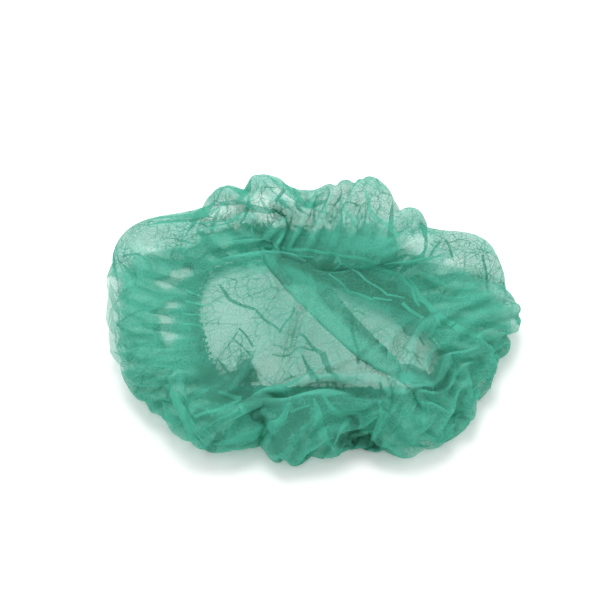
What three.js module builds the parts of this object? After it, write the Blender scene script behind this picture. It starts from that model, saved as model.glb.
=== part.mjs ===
// Disposable hair cover cap, lying on a table with its crown up and its elastic opening down.
// Units are millimetres. X runs from left to right, Y from front to back and Z is up.
// The origin is on the table, under the middle of the cap.
//
// The real cap is one round sheet of thin nonwoven, drawn in by an elastic round its edge.
// A column is one line of that sheet from the middle of the crown out over the ruffled side,
// down to the table and back in to the opening. The cover joins the columns side by side.

import * as THREE from 'three';

// Cloth, hem fold and elastic
const WALL = 1.2;
const HEM_WALL = 1.0;
const HEM_GAP = 0.3;
const HEM_DEPTH = 8;
const HEM_FOLD_DEPTH = 6;
const HEM_RUFFLE = 0.8;
const ELASTIC_WIDTH = 1.5;
const ELASTIC_HEIGHT = 1.2;

// Where the layers of the hem lie: distances up from the sheet and outward from the opening's edge
const SLOT_HALF = WALL / 2 + HEM_GAP;
const HEM_HALF = SLOT_HALF + HEM_WALL;
const ELASTIC_OUTER = -HEM_GAP;
const ELASTIC_INNER = ELASTIC_OUTER - ELASTIC_WIDTH;
const SLOT_BOTTOM = ELASTIC_INNER - HEM_GAP;
const HEM_BOTTOM = SLOT_BOTTOM - HEM_WALL;

// Finishes
const NONWOVEN_GREEN = 0x56ac93;
const NONWOVEN_ROUGHNESS = 0.85;
const ELASTIC_WHITE = 0xe8ebe6;
const ELASTIC_ROUGHNESS = 0.7;

// Heights above the table
const CROWN_HEIGHT = 48;
const OPENING_HEIGHT = 6;

// The gathers that the elastic makes: how far they rise under the cap, how far they ripple its
// side, and the share of the underside, from the outline in, that lies flat before they start
const GATHERS = 28;
const GATHER_RISE = 9;
const SIDE_RIPPLE = 2.4;
const GATHERS_FROM_TUCK = 0.4;

// The mesh has four columns to a gather, and half as many near the middle of the crown
const COLUMNS = 4 * GATHERS;
const COARSE_COLUMNS = COLUMNS / 2;
const COARSE_RINGS = 7;

// Where the columns meet, seen from above
const MIDDLE = { x: 1.5, y: 3.5 };

// The outline and side height without the ruffles, which the middle of the crown follows
const PLAIN_HALF_WIDTH = 142;
const PLAIN_HALF_DEPTH = 112;
const PLAIN_TOP = 52;

// Shares of the way from the middle to the outline: where the ruffles start to show, where the
// ripples of the side start, and how long before the outline the folds of the crown have faded
const RUFFLES_FROM = 0.1;
const RIPPLES_FROM = 0.75;
const FOLDS_FADE = 0.2;

// The ruffled outline seen from above. A row is a crest, a notch or a shoulder of a ruffle: its
// direction in degrees from +X, its distance from the middle, and how high the cap stands there.
const RUFFLES = [
  { at: 5, reach: 150, top: 46 },
  { at: 8.5, reach: 131, top: 46 },
  { at: 14, reach: 141, top: 52 },
  { at: 25, reach: 141, top: 58 },
  { at: 34, reach: 122, top: 56 },
  { at: 39, reach: 107, top: 52 },
  { at: 46, reach: 115, top: 60 },
  { at: 57, reach: 107, top: 56 },
  { at: 62, reach: 119, top: 64 },
  { at: 73, reach: 114, top: 66 },
  { at: 91, reach: 101, top: 60 },
  { at: 103, reach: 109, top: 62 },
  { at: 113, reach: 122, top: 66 },
  { at: 119, reach: 117, top: 60 },
  { at: 125, reach: 125, top: 62 },
  { at: 138, reach: 124, top: 52 },
  { at: 146, reach: 145, top: 55 },
  { at: 154, reach: 158, top: 58 },
  { at: 164, reach: 155, top: 56 },
  { at: 176, reach: 149, top: 54 },
  { at: 184, reach: 148, top: 50 },
  { at: 195, reach: 145, top: 50 },
  { at: 209, reach: 140, top: 47 },
  { at: 214, reach: 134, top: 43 },
  { at: 223, reach: 134, top: 46 },
  { at: 237, reach: 127, top: 44 },
  { at: 249, reach: 101, top: 38 },
  { at: 255, reach: 120, top: 44 },
  { at: 262, reach: 120, top: 46 },
  { at: 278, reach: 104, top: 41 },
  { at: 289, reach: 112, top: 44 },
  { at: 303, reach: 129, top: 46 },
  { at: 312, reach: 135, top: 42 },
  { at: 318, reach: 138, top: 46 },
  { at: 333, reach: 127, top: 43 },
  { at: 340, reach: 134, top: 50 },
  { at: 347, reach: 130, top: 45 },
  { at: 354, reach: 141, top: 50 },
];

// The elastic opening, which lies drawn in unevenly. A row is a direction in degrees from +X and
// the distance from the opening's own middle.
const OPENING_MIDDLE = { x: 1.5, y: 4.5 };
const OPENING = [
  { at: 8, reach: 63 },
  { at: 33, reach: 47 },
  { at: 67, reach: 42 },
  { at: 98, reach: 50 },
  { at: 126, reach: 78 },
  { at: 144, reach: 93 },
  { at: 166, reach: 88 },
  { at: 188, reach: 80 },
  { at: 213, reach: 80 },
  { at: 235, reach: 63 },
  { at: 268, reach: 52 },
  { at: 300, reach: 61 },
  { at: 328, reach: 92 },
  { at: 345, reach: 92 },
];

// Stations along a column, from the crown to the hem. out is the share of the way from the middle
// to the outline, and tuck the share of the way from there back in to the opening. crown, side and
// hem are shares of the crown's height, of the side's height at that ruffle and of the opening's.
// steps is how many mesh rings lead to the next station.
const STATIONS = [
  { name: 'crown', out: 0.0, tuck: 0.0, crown: 1.0, side: 0.0, hem: 0.0, steps: 4 },
  { name: 'crown field', out: 0.36, tuck: 0.0, crown: 0.84, side: 0.16, hem: 0.0, steps: 4 },
  { name: 'inner slope', out: 0.64, tuck: 0.0, crown: 0.3, side: 0.68, hem: 0.0, steps: 3 },
  { name: 'shoulder', out: 0.82, tuck: 0.0, crown: 0.0, side: 1.0, hem: 0.0, steps: 3 },
  { name: 'brow', out: 0.94, tuck: 0.0, crown: 0.0, side: 0.82, hem: 0.0, steps: 2 },
  { name: 'edge', out: 1.0, tuck: 0.0, crown: 0.0, side: 0.44, hem: 0.0, steps: 2 },
  { name: 'heel', out: 1.0, tuck: 0.08, crown: 0.0, side: 0.12, hem: 0.0, steps: 1 },
  { name: 'table', out: 1.0, tuck: 0.22, crown: 0.0, side: 0.0, hem: 0.0, steps: 2 },
  { name: 'underside', out: 1.0, tuck: 0.55, crown: 0.0, side: 0.0, hem: 0.05, steps: 2 },
  { name: 'hem', out: 1.0, tuck: 1.0, crown: 0.0, side: 0.0, hem: 1.0, steps: 0 },
];

// Folds that stand up in the crown sheet: a straight ridge from one place to another, seen from
// above, with its half width and its rise. A negative rise is a dent.
const FOLDS = [
  { name: 'overlap, upper part', fromX: -34, fromY: 58, toX: 18, toY: -14, halfWidth: 12, rise: 8 },
  { name: 'overlap, lower part', fromX: 18, fromY: -14, toX: 76, toY: -70, halfWidth: 11, rise: 8 },
  { name: 'left crease', fromX: -68, fromY: 10, toX: -24, toY: -31, halfWidth: 7, rise: 3 },
  { name: 'middle crease', fromX: -11, fromY: -32, toX: 19, toY: -80, halfWidth: 7, rise: 3 },
  { name: 'back hollow', fromX: -32, fromY: 66, toX: 78, toY: 4, halfWidth: 15, rise: -9 },
  { name: 'back ridge', fromX: -36, fromY: 88, toX: 92, toY: 32, halfWidth: 11, rise: 5 },
  { name: 'front left rib', fromX: -98, fromY: -64, toX: -76, toY: -100, halfWidth: 9, rise: 5 },
  { name: 'front swag', fromX: -60, fromY: -98, toX: -18, toY: -80, halfWidth: 8, rise: 5 },
  { name: 'front middle rib', fromX: 3, fromY: -74, toX: 14, toY: -102, halfWidth: 8, rise: 5 },
  { name: 'front dent', fromX: 28, fromY: -82, toX: 32, toY: -104, halfWidth: 9, rise: -5 },
  { name: 'left dent', fromX: -100, fromY: 28, toX: -106, toY: -28, halfWidth: 12, rise: -7 },
  { name: 'right hollow', fromX: 96, fromY: 58, toX: 122, toY: 22, halfWidth: 12, rise: -6 },
];

const toRadians = THREE.MathUtils.degToRad;

// A smooth curve through the points (xs[i], ys[i]) that never swings past them
function curveThrough(xs, ys) {
  const last = xs.length - 1;
  const slopes = xs.slice(1).map((x, i) => (ys[i + 1] - ys[i]) / (x - xs[i]));
  const tangents = xs.map((_, i) => {
    const before = slopes[Math.max(i - 1, 0)];
    const after = slopes[Math.min(i, last - 1)];
    return before * after <= 0 ? 0 : (2 * before * after) / (before + after);
  });
  return (x) => {
    let i = 0;
    while (i < last - 1 && x > xs[i + 1]) i += 1;
    const span = xs[i + 1] - xs[i];
    const u = (x - xs[i]) / span;
    const rest = 1 - u;
    return ys[i] * rest * rest * (1 + 2 * u)
      + ys[i + 1] * u * u * (3 - 2 * u)
      + span * tangents[i] * u * rest * rest
      - span * tangents[i + 1] * u * u * rest;
  };
}

// The same curve round a full turn, for one named column of a table of directions
function curveRound(rows, column) {
  const wrapped = [
    ...rows.slice(-2).map((row) => ({ ...row, at: row.at - 360 })),
    ...rows,
    ...rows.slice(0, 2).map((row) => ({ ...row, at: row.at + 360 })),
  ];
  return curveThrough(wrapped.map((row) => row.at), wrapped.map((row) => row[column]));
}

const reachAt = curveRound(RUFFLES, 'reach');
const topAt = curveRound(RUFFLES, 'top');
const openingAt = curveRound(OPENING, 'reach');

const stationNumbers = STATIONS.map((_, i) => i);
const stationCurve = {};
for (const column of ['out', 'tuck', 'crown', 'side', 'hem']) {
  stationCurve[column] = curveThrough(stationNumbers, STATIONS.map((row) => row[column]));
}

// How much the folds lift the sheet at a place seen from above. Where ridges meet, the highest
// counts, and where dents meet, the deepest.
function foldRise(x, y) {
  let ridge = 0;
  let dent = 0;
  for (const fold of FOLDS) {
    const alongX = fold.toX - fold.fromX;
    const alongY = fold.toY - fold.fromY;
    const share = ((x - fold.fromX) * alongX + (y - fold.fromY) * alongY) / (alongX ** 2 + alongY ** 2);
    const nearest = THREE.MathUtils.clamp(share, 0, 1);
    const away = Math.hypot(x - fold.fromX - nearest * alongX, y - fold.fromY - nearest * alongY);
    const rise = fold.rise * Math.exp(-((away / fold.halfWidth) ** 2));
    ridge = Math.max(ridge, rise);
    dent = Math.min(dent, rise);
  }
  return ridge + dent;
}

// A point of the opening's edge, with its outward direction square to that edge, which is taken
// from the points a small angle before and after it
const EDGE_STEP = 1.5;

function openingPoint(degrees) {
  const at = (angle) => {
    const reach = openingAt((angle + 360) % 360);
    const turn = toRadians(angle);
    return [OPENING_MIDDLE.x + reach * Math.cos(turn), OPENING_MIDDLE.y + reach * Math.sin(turn)];
  };
  const [x, y] = at(degrees);
  const [beforeX, beforeY] = at(degrees - EDGE_STEP);
  const [afterX, afterY] = at(degrees + EDGE_STEP);
  const length = Math.hypot(afterX - beforeX, afterY - beforeY);
  return { x, y, outX: (afterY - beforeY) / length, outY: -(afterX - beforeX) / length };
}

// The middle of the cloth's wall at a direction and a station number
function clothPoint(degrees, station) {
  const turn = toRadians(degrees);
  const out = stationCurve.out(station);
  const tuck = stationCurve.tuck(station);
  const plain = 1 / Math.hypot(Math.cos(turn) / PLAIN_HALF_WIDTH, Math.sin(turn) / PLAIN_HALF_DEPTH);
  const ruffled = THREE.MathUtils.smoothstep(out, RUFFLES_FROM, 1);
  const reach = THREE.MathUtils.lerp(plain, reachAt(degrees), ruffled);
  const top = THREE.MathUtils.lerp(PLAIN_TOP, topAt(degrees), ruffled);
  const gather = Math.cos(GATHERS * turn);
  const rippled = THREE.MathUtils.smoothstep(out, RIPPLES_FROM, 1) * (1 - tuck);
  const ripple = SIDE_RIPPLE * gather * rippled;
  const outerX = MIDDLE.x + (reach * out + ripple) * Math.cos(turn);
  const outerY = MIDDLE.y + (reach * out + ripple) * Math.sin(turn);
  const rim = openingPoint(degrees);
  const rimX = rim.x + HEM_DEPTH * rim.outX;
  const rimY = rim.y + HEM_DEPTH * rim.outY;
  const x = THREE.MathUtils.lerp(outerX, rimX, tuck);
  const y = THREE.MathUtils.lerp(outerY, rimY, tuck);
  const gatherShare = Math.sin(Math.PI * THREE.MathUtils.smoothstep(tuck, GATHERS_FROM_TUCK, 1));
  const z = stationCurve.crown(station) * CROWN_HEIGHT
    + stationCurve.side(station) * top
    + stationCurve.hem(station) * OPENING_HEIGHT
    + GATHER_RISE * gatherShare * (0.5 + 0.5 * gather)
    + foldRise(x, y) * THREE.MathUtils.smoothstep(1 - out, 0, FOLDS_FADE);
  return new THREE.Vector3(x, y, Math.max(z, WALL / 2));
}

// Station numbers of the mesh rings, from the first one off the middle to the hem
function ringStations() {
  const stations = [];
  STATIONS.forEach((row, number) => {
    for (let step = 0; step < row.steps; step += 1) stations.push(number + step / row.steps);
  });
  stations.push(STATIONS.length - 1);
  return stations.slice(1);
}

function columnsOfRing(ring) {
  return ring < COARSE_RINGS ? COARSE_COLUMNS : COLUMNS;
}

// A ring at the hem, a given distance outside the opening's edge, where the cloth lies level
function hemRing(outward) {
  return Array.from({ length: COLUMNS }, (_, column) => {
    const rim = openingPoint((360 * column) / COLUMNS);
    return new THREE.Vector3(rim.x + outward * rim.outX, rim.y + outward * rim.outY, OPENING_HEIGHT);
  });
}

// Triangles between a ring and the next one, which has as many points or twice as many
function stitchRings(inner, outer, triangles) {
  const ratio = outer.count / inner.count;
  for (let i = 0; i < inner.count; i += 1) {
    const a = inner.first + i;
    const b = inner.first + ((i + 1) % inner.count);
    const c = outer.first + ratio * i;
    const d = outer.first + ((ratio * (i + 1)) % outer.count);
    if (ratio === 1) {
      triangles.push([a, c, d], [a, d, b]);
    } else {
      triangles.push([a, c, c + 1], [a, c + 1, b], [b, c + 1, d]);
    }
  }
}

function geometryFrom(points, triangles) {
  const geometry = new THREE.BufferGeometry();
  const numbers = points.flatMap((point) => [point.x, point.y, point.z]);
  geometry.setAttribute('position', new THREE.Float32BufferAttribute(numbers, 3));
  geometry.setIndex(triangles.flat());
  geometry.computeVertexNormals();
  return geometry;
}

// The cover: one thin wall, open at the hem, with an outer face and an inner face. Its outer face
// lies flat on the table wherever it comes this near to it.
const ON_TABLE = WALL / 4;

function coverGeometry() {
  const points = [clothPoint(0, 0)];
  const rings = [];
  const addRing = (ringPoints) => {
    rings.push({ first: points.length, count: ringPoints.length });
    points.push(...ringPoints);
  };
  ringStations().forEach((station, ring) => {
    if (station === STATIONS.length - 1) return;
    const count = columnsOfRing(ring);
    addRing(Array.from({ length: count }, (_, column) => clothPoint((360 * column) / count, station)));
  });
  addRing(hemRing(HEM_DEPTH));
  addRing(hemRing(HEM_GAP));
  const triangles = [];
  for (let i = 0; i < rings[0].count; i += 1) {
    triangles.push([0, rings[0].first + i, rings[0].first + ((i + 1) % rings[0].count)]);
  }
  for (let ring = 1; ring < rings.length; ring += 1) {
    stitchRings(rings[ring - 1], rings[ring], triangles);
  }

  const middle = geometryFrom(points, triangles);
  const normals = middle.getAttribute('normal');
  const levelFrom = rings[rings.length - 2].first;
  const outside = [];
  const inside = [];
  points.forEach((point, i) => {
    const normal = i < levelFrom
      ? new THREE.Vector3().fromBufferAttribute(normals, i)
      : new THREE.Vector3(0, 0, -1);
    const outer = point.clone().addScaledVector(normal, WALL / 2);
    const inner = point.clone().addScaledVector(normal, -WALL / 2);
    if (outer.z < ON_TABLE) outer.z = 0;
    inner.z = Math.max(inner.z, WALL);
    outside.push(outer);
    inside.push(inner);
  });
  const count = points.length;
  const rim = rings[rings.length - 1];
  const walls = [...triangles, ...triangles.map(([a, b, c]) => [count + a, count + c, count + b])];
  for (let i = 0; i < rim.count; i += 1) {
    const a = rim.first + i;
    const b = rim.first + ((i + 1) % rim.count);
    walls.push([a, count + a, count + b], [a, count + b, b]);
  }
  return geometryFrom([...outside, ...inside], walls);
}

// A closed band that follows the opening. section(degrees) lists [outward, up] corners of its cross
// section, anticlockwise seen with the outward direction to the right.
function bandGeometry(section) {
  const points = [];
  for (let column = 0; column < COLUMNS; column += 1) {
    const degrees = (360 * column) / COLUMNS;
    const rim = openingPoint(degrees);
    for (const [outward, up] of section(degrees)) {
      const x = rim.x + outward * rim.outX;
      const y = rim.y + outward * rim.outY;
      points.push(new THREE.Vector3(x, y, OPENING_HEIGHT + up));
    }
  }
  const corners = section(0).length;
  const triangles = [];
  for (let column = 0; column < COLUMNS; column += 1) {
    const next = (column + 1) % COLUMNS;
    for (let corner = 0; corner < corners; corner += 1) {
      const after = (corner + 1) % corners;
      const a = column * corners + corner;
      const b = column * corners + after;
      const c = next * corners + corner;
      const d = next * corners + after;
      triangles.push([a, d, b], [a, c, d]);
    }
  }
  return geometryFrom(points, triangles);
}

// The hem: the sheet's edge folded double over the elastic, with a ruffled free edge
function hemSection(degrees) {
  const gather = Math.cos(GATHERS * toRadians(degrees));
  const leg = HEM_FOLD_DEPTH + HEM_RUFFLE * gather;
  return [
    [HEM_BOTTOM, -HEM_HALF],
    [leg, -HEM_HALF],
    [leg, -SLOT_HALF],
    [SLOT_BOTTOM, -SLOT_HALF],
    [SLOT_BOTTOM, SLOT_HALF],
    [leg, SLOT_HALF],
    [leg, HEM_HALF],
    [HEM_BOTTOM, HEM_HALF],
  ];
}

// The elastic: a flat cord inside the fold of the hem
function elasticSection() {
  const half = ELASTIC_HEIGHT / 2;
  return [
    [ELASTIC_INNER, -half],
    [ELASTIC_OUTER, -half],
    [ELASTIC_OUTER, half],
    [ELASTIC_INNER, half],
  ];
}

function namedMesh(name, geometry, color, roughness) {
  const material = new THREE.MeshStandardMaterial({ color, roughness, metalness: 0 });
  const mesh = new THREE.Mesh(geometry, material);
  mesh.name = name;
  return mesh;
}

const cap = new THREE.Group();
cap.add(namedMesh('cover', coverGeometry(), NONWOVEN_GREEN, NONWOVEN_ROUGHNESS));
cap.add(namedMesh('gathered_hem', bandGeometry(hemSection), NONWOVEN_GREEN, NONWOVEN_ROUGHNESS));
cap.add(namedMesh('elastic_band', bandGeometry(elasticSection), ELASTIC_WHITE, ELASTIC_ROUGHNESS));

export default cap;
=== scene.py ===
# %% [markdown]
# This lesson builds a disposable hair cover cap: one round sheet of thin green nonwoven, drawn in
# by an elastic round its edge, lying on a table with its crown up. The solid model gives its size
# and its place, so the first step loads that model.

# %% Load the frame
import math
import time

import bpy
import numpy as np
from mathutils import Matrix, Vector
from mathutils.bvhtree import BVHTree


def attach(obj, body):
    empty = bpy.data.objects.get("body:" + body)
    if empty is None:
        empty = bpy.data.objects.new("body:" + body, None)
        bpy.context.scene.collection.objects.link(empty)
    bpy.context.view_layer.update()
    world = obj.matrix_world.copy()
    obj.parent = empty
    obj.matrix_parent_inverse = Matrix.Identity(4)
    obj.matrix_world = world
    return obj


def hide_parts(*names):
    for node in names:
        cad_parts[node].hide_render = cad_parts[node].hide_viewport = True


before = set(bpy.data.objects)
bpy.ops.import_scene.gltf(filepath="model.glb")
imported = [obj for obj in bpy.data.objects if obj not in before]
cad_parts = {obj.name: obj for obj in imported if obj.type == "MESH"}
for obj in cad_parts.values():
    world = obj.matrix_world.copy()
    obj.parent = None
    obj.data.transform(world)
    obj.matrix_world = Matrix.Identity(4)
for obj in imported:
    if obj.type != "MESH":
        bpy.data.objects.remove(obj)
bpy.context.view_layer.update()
MM = 0.001
FULL_TURN = 2 * math.pi
scene = bpy.context.scene
start_time = time.time()


# %% [markdown]
# The photograph looks down on the cap at about 52 degrees through a long lens, so the camera stands
# two metres away. The lens follows from how many pixels the cap fills. A lens shift could put the
# cap where the photograph has it, but moving the camera in its own plane keeps the lens plain.

# %% Camera
PHOTO_WIDTH_PX = 598
PHOTO_HEIGHT_PX = 600
MM_PER_PX = 0.718
AIM_PX = (314.0, 315.0)
AIM_HEIGHT = 30 * MM
CAMERA_ELEVATION = math.radians(52)
CAMERA_DISTANCE = 2.0
SENSOR_MM = 36.0


def make_camera():
    data = bpy.data.cameras.new("camera")
    data.sensor_width = SENSOR_MM
    data.lens = SENSOR_MM * CAMERA_DISTANCE / (PHOTO_WIDTH_PX * MM_PER_PX * MM)
    camera = bpy.data.objects.new("camera", data)
    scene.collection.objects.link(camera)
    backward = Vector((0, -math.cos(CAMERA_ELEVATION), math.sin(CAMERA_ELEVATION)))
    upward = Vector((0, math.sin(CAMERA_ELEVATION), math.cos(CAMERA_ELEVATION)))
    sideways = (PHOTO_WIDTH_PX / 2 - AIM_PX[0]) * MM_PER_PX * MM
    raised = (AIM_PX[1] - PHOTO_HEIGHT_PX / 2) * MM_PER_PX * MM
    aim = Vector((sideways, 0, AIM_HEIGHT)) + upward * raised
    camera.location = aim + backward * CAMERA_DISTANCE
    camera.rotation_euler = (math.pi / 2 - CAMERA_ELEVATION, 0, 0)
    scene.camera = camera
    return camera


camera = make_camera()
print("lens in mm:", round(camera.data.lens, 1))

# %% [markdown]
# The studio is a white floor under a bright sky of even light, with one large soft light high
# behind the cap. Several lamps would lay several shadows. The even light keeps the thin cloth
# clear, and the one light behind lays the soft shadow in front of the cap and leaves the hollow
# before the back ruffles a little darker.

# %% Floor
FLOOR_SIZE = 6.0
FLOOR_WHITE = (0.95, 0.95, 0.95, 1)
FLOOR_ROUGHNESS = 0.9


def make_floor():
    half = FLOOR_SIZE / 2
    corners = [(-half, -half, 0), (half, -half, 0), (half, half, 0), (-half, half, 0)]
    mesh = bpy.data.meshes.new("floor")
    mesh.from_pydata(corners, [], [(0, 1, 2, 3)])
    floor = bpy.data.objects.new("floor", mesh)
    scene.collection.objects.link(floor)
    material = bpy.data.materials.new("white_floor")
    material.use_nodes = True
    shader = material.node_tree.nodes["Principled BSDF"]
    shader.inputs["Base Color"].default_value = FLOOR_WHITE
    shader.inputs["Roughness"].default_value = FLOOR_ROUGHNESS
    shader.inputs["Specular IOR Level"].default_value = 0.0
    mesh.materials.append(material)


make_floor()
print("floor across in m:", FLOOR_SIZE)

# %% Lights
LIGHT_PLACE = (-0.05, 0.6, 1.45)
LIGHT_SIZE = 0.9
LIGHT_POWER = 16.0
SKY_STRENGTH = 0.95
CLEAR_LAYERS = 24
LIGHT_BOUNCES = 10
DIFFUSE_BOUNCES = 6


def make_area_light(name, location, target, size, power):
    data = bpy.data.lights.new(name, "AREA")
    data.shape = "DISK"
    data.size = size
    data.energy = power
    light = bpy.data.objects.new(name, data)
    light.location = location
    light.rotation_euler = (Vector(target) - Vector(location)).to_track_quat("-Z", "Y").to_euler()
    scene.collection.objects.link(light)


def make_sky(strength):
    world = bpy.data.worlds.new("studio")
    world.use_nodes = True
    background = world.node_tree.nodes["Background"]
    background.inputs["Color"].default_value = (1, 1, 1, 1)
    background.inputs["Strength"].default_value = strength
    scene.world = world


make_area_light("light_behind", LIGHT_PLACE, (0, 0, 0), LIGHT_SIZE, LIGHT_POWER)
make_sky(SKY_STRENGTH)
scene.view_settings.view_transform = "Standard"
scene.cycles.transparent_max_bounces = CLEAR_LAYERS
scene.cycles.max_bounces = LIGHT_BOUNCES
scene.cycles.diffuse_bounces = DIFFUSE_BOUNCES
print("lights:", LIGHT_POWER, "W behind, sky", SKY_STRENGTH)

# %% [markdown]
# The cap lies where the solid model says: a ruffled outline, a flatter crown and an uneven opening.
# The tables below are the same as the solid's. A row of the first is a crest or a notch of a ruffle
# by its direction, and a row of the second is one direction of the opening. The third leads from
# the middle of the crown (station 0) over the side (4 to 6) and along the table to the hem (9).

# %% Outline and opening
# in mm: the middle of the outline, the outline and side without ruffles, the crown and the opening
MIDDLE = (1.5, 3.5)
PLAIN_HALF_WIDTH = 142
PLAIN_HALF_DEPTH = 112
PLAIN_TOP = 52
CROWN_HEIGHT = 48
OPENING_HEIGHT = 6
OPENING_MIDDLE = (1.5, 4.5)

# direction in degrees, reach in mm, height in mm
RUFFLES = [
    (5, 150, 46), (8.5, 131, 46), (14, 141, 52), (25, 141, 58), (34, 122, 56), (39, 107, 52),
    (46, 115, 60), (57, 107, 56), (62, 119, 64), (73, 114, 66), (91, 101, 60), (103, 109, 62),
    (113, 122, 66), (119, 117, 60), (125, 125, 62), (138, 124, 52), (146, 145, 55), (154, 158, 58),
    (164, 155, 56), (176, 149, 54), (184, 148, 50), (195, 145, 50), (209, 140, 47), (214, 134, 43),
    (223, 134, 46), (237, 127, 44), (249, 101, 38), (255, 120, 44), (262, 120, 46), (278, 104, 41),
    (289, 112, 44), (303, 129, 46), (312, 135, 42), (318, 138, 46), (333, 127, 43), (340, 134, 50),
    (347, 130, 45), (354, 141, 50),
]

# direction in degrees, reach in mm
OPENING = [
    (8, 63), (33, 47), (67, 42), (98, 50), (126, 78), (144, 93), (166, 88), (188, 80), (213, 80),
    (235, 63), (268, 52), (300, 61), (328, 92), (345, 92),
]

# out to the outline, tuck back in to the opening, then shares of crown, side and opening height
STATIONS = [
    (0.00, 0.00, 1.00, 0.00, 0.00),
    (0.36, 0.00, 0.84, 0.16, 0.00),
    (0.64, 0.00, 0.30, 0.68, 0.00),
    (0.82, 0.00, 0.00, 1.00, 0.00),
    (0.94, 0.00, 0.00, 0.82, 0.00),
    (1.00, 0.00, 0.00, 0.44, 0.00),
    (1.00, 0.08, 0.00, 0.12, 0.00),
    (1.00, 0.22, 0.00, 0.00, 0.00),
    (1.00, 0.55, 0.00, 0.00, 0.05),
    (1.00, 1.00, 0.00, 0.00, 1.00),
]
HEM_STATION = len(STATIONS) - 1
print("ruffles in the table:", len(RUFFLES), "directions of the opening:", len(OPENING))

# %% Curves through the tables


def smoothstep(value, low, high):
    """0 up to low, 1 from high on, and a soft rise between them."""
    share = np.clip((value - low) / (high - low), 0, 1)
    return share * share * (3 - 2 * share)


def curve_through(places, values):
    """A smooth curve through the rows that never swings past a crest or a notch."""
    places = np.asarray(places, float)
    values = np.asarray(values, float)
    slopes = np.diff(values) / np.diff(places)
    before = np.concatenate([slopes[:1], slopes])
    after = np.concatenate([slopes, slopes[-1:]])
    total = np.where(before + after == 0, 1, before + after)
    tangents = np.where(before * after <= 0, 0, 2 * before * after / total)

    def value_at(place):
        row = np.clip(np.searchsorted(places, place, side="right") - 1, 0, len(places) - 2)
        span = places[row + 1] - places[row]
        share = (place - places[row]) / span
        rest = 1 - share
        ends = values[row] * rest**2 * (1 + 2 * share) + values[row + 1] * share**2 * (3 - 2 * share)
        return ends + span * share * rest * (tangents[row] * rest - tangents[row + 1] * share)

    return value_at


def curve_round(rows, column):
    """The same kind of curve, closed round the cap by repeating two rows at each end."""
    places = [row[0] for row in rows]
    values = [row[column] for row in rows]
    places = [place - 360 for place in places[-2:]] + places + [place + 360 for place in places[:2]]
    return curve_through(places, values[-2:] + values + values[:2])


reach_at = curve_round(RUFFLES, 1)
top_at = curve_round(RUFFLES, 2)
opening_reach_at = curve_round(OPENING, 1)
station_curves = [curve_through(range(len(STATIONS)), column) for column in zip(*STATIONS)]
print("reach at the right in mm:", round(float(reach_at(0.0)), 1))

# %% [markdown]
# Broad folds stand up in the crown or sink into it, where the cloth came to rest when the cap was
# put down. They could be sculpted by hand, but a table can be read and changed. A row is a straight
# ridge from one place to another seen from above, with its half width and its rise, and a negative
# rise is a dent.

# %% Broad folds
# from x, y, to x, y, half width, rise, all in mm
FOLDS = [
    (-34, 58, 18, -14, 12, 8),
    (18, -14, 76, -70, 11, 8),
    (-68, 10, -24, -31, 7, 3),
    (-11, -32, 19, -80, 7, 3),
    (-32, 66, 78, 4, 15, -9),
    (-36, 88, 92, 32, 11, 5),
    (-98, -64, -76, -100, 9, 5),
    (-60, -98, -18, -80, 8, 5),
    (3, -74, 14, -102, 8, 5),
    (28, -82, 32, -104, 9, -5),
    (-100, 28, -106, -28, 12, -7),
    (96, 58, 122, 22, 12, -6),
]


def away_from_line(x, y, from_x, from_y, to_x, to_y):
    """How far each spot is from a straight line between two places."""
    along_x = to_x - from_x
    along_y = to_y - from_y
    share = ((x - from_x) * along_x + (y - from_y) * along_y) / (along_x**2 + along_y**2)
    share = np.clip(share, 0, 1)
    return np.hypot(x - from_x - share * along_x, y - from_y - share * along_y)


def bump_along(x, y, line, half_width, rise):
    """A round bump of the given rise along a line."""
    return rise * np.exp(-(away_from_line(x, y, *line) / half_width) ** 2)


def fold_rise(x, y):
    """How much the folds lift the sheet. The highest ridge and the deepest dent count."""
    ridge = np.zeros_like(x)
    dent = np.zeros_like(x)
    for *line, half_width, rise in FOLDS:
        lift = bump_along(x, y, line, half_width, rise)
        ridge = np.maximum(ridge, lift)
        dent = np.minimum(dent, lift)
    return ridge + dent


print("broad folds:", len(FOLDS))

# %% [markdown]
# The drawn-in cap is the outline, the stations and the folds put together. It isn't cloth yet, only
# the form that the cloth has to fill, written as one function of a direction and a station.

# %% The drawn-in shape
# shares of the way out where the ruffles begin to show and show fully
RUFFLES_GROW = (0.1, 1.0)
# stations where the folds begin to fade and have faded
FOLDS_FADE = (3.5, 5.0)


def cap_point(degrees, station):
    """The place in mm of a point of the drawn-in cap, by its direction and its station."""
    degrees = np.mod(degrees, 360)
    cosine = np.cos(np.radians(degrees))
    sine = np.sin(np.radians(degrees))
    out, tuck, crown, side, hem = [curve(station) for curve in station_curves]
    plain = 1 / np.hypot(cosine / PLAIN_HALF_WIDTH, sine / PLAIN_HALF_DEPTH)
    ruffled = smoothstep(out, *RUFFLES_GROW)
    reach = (plain + (reach_at(degrees) - plain) * ruffled) * out
    top = PLAIN_TOP + (top_at(degrees) - PLAIN_TOP) * ruffled
    opening = opening_reach_at(degrees)
    x = MIDDLE[0] + reach * cosine
    y = MIDDLE[1] + reach * sine
    x = x + (OPENING_MIDDLE[0] + opening * cosine - x) * tuck
    y = y + (OPENING_MIDDLE[1] + opening * sine - y) * tuck
    z = crown * CROWN_HEIGHT + side * top + hem * OPENING_HEIGHT
    z = z + fold_rise(x, y) * (1 - smoothstep(station, *FOLDS_FADE))
    return np.stack([x, y, z], -1)


crown_point = cap_point(np.array(0.0), np.array(0.0))
print("height of the crown in mm:", round(float(crown_point[2]), 1))

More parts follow.
